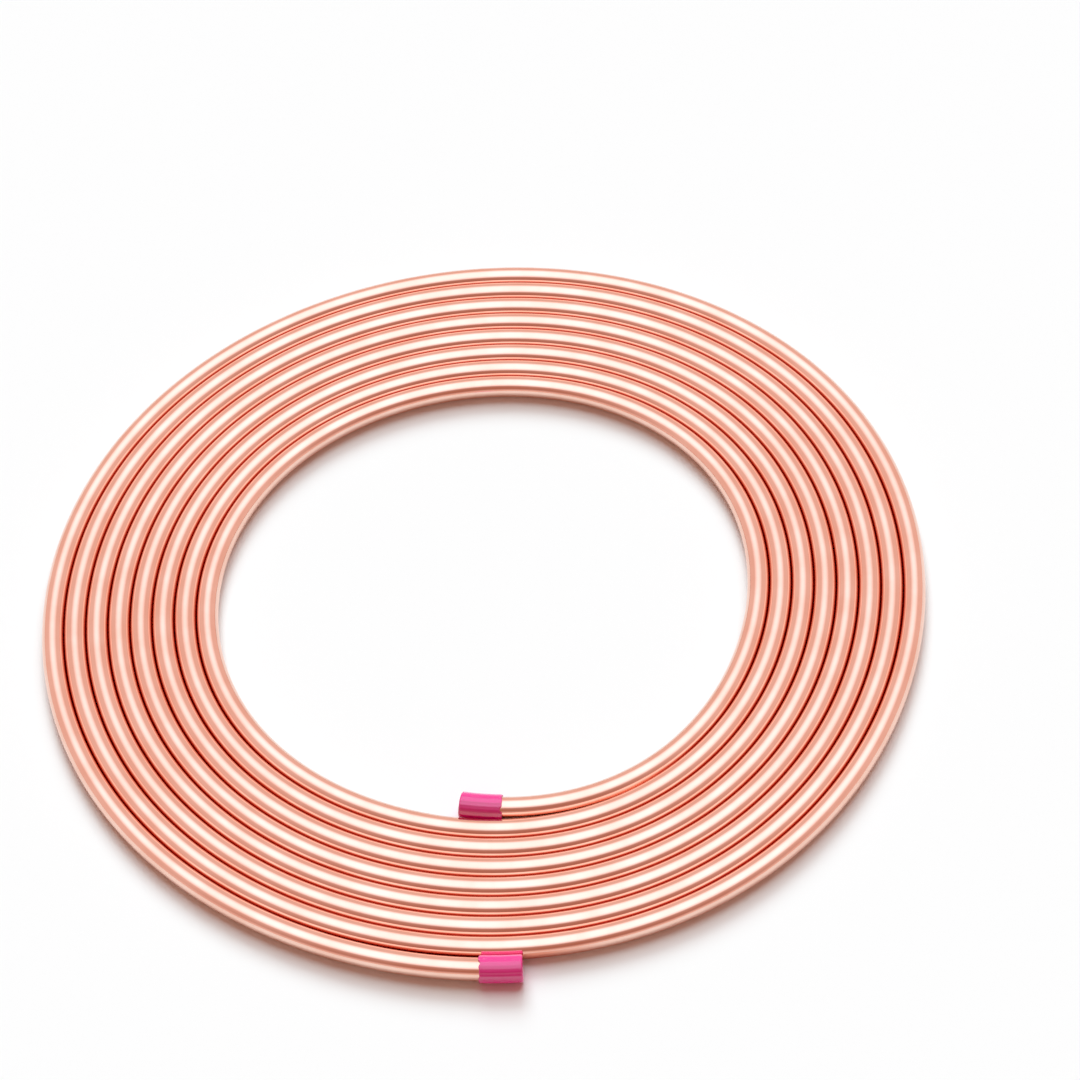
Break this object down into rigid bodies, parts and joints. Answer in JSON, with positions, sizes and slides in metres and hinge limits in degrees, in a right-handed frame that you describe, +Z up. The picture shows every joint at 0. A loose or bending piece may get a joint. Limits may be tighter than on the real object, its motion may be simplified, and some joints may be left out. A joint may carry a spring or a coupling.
{
  "type": "copper tube coil",
  "caption": "Flat single-layer coil of soft copper tube, wound as an open-eyed spiral, with a push-on plastic cap closing each tube end.",
  "frame": {"origin": "middle of the coil's eye, on the floor that the coil lies on", "axes": "+Z up, along the coil's axis; +X to the right and +Y to the back, seen with both tube ends at the front"},
  "size_m": [0.7715, 0.7857, 0.0241],
  "materials": {
    "copper": "bright drawn copper, satin",
    "cap_plastic": "moulded soft plastic, glossy magenta"
  },
  "bodies": {
    "root": {"copper_tube": "copper", "inner_end_cap": "cap_plastic", "outer_end_cap": "cap_plastic"}
  },
  "joints": []
}
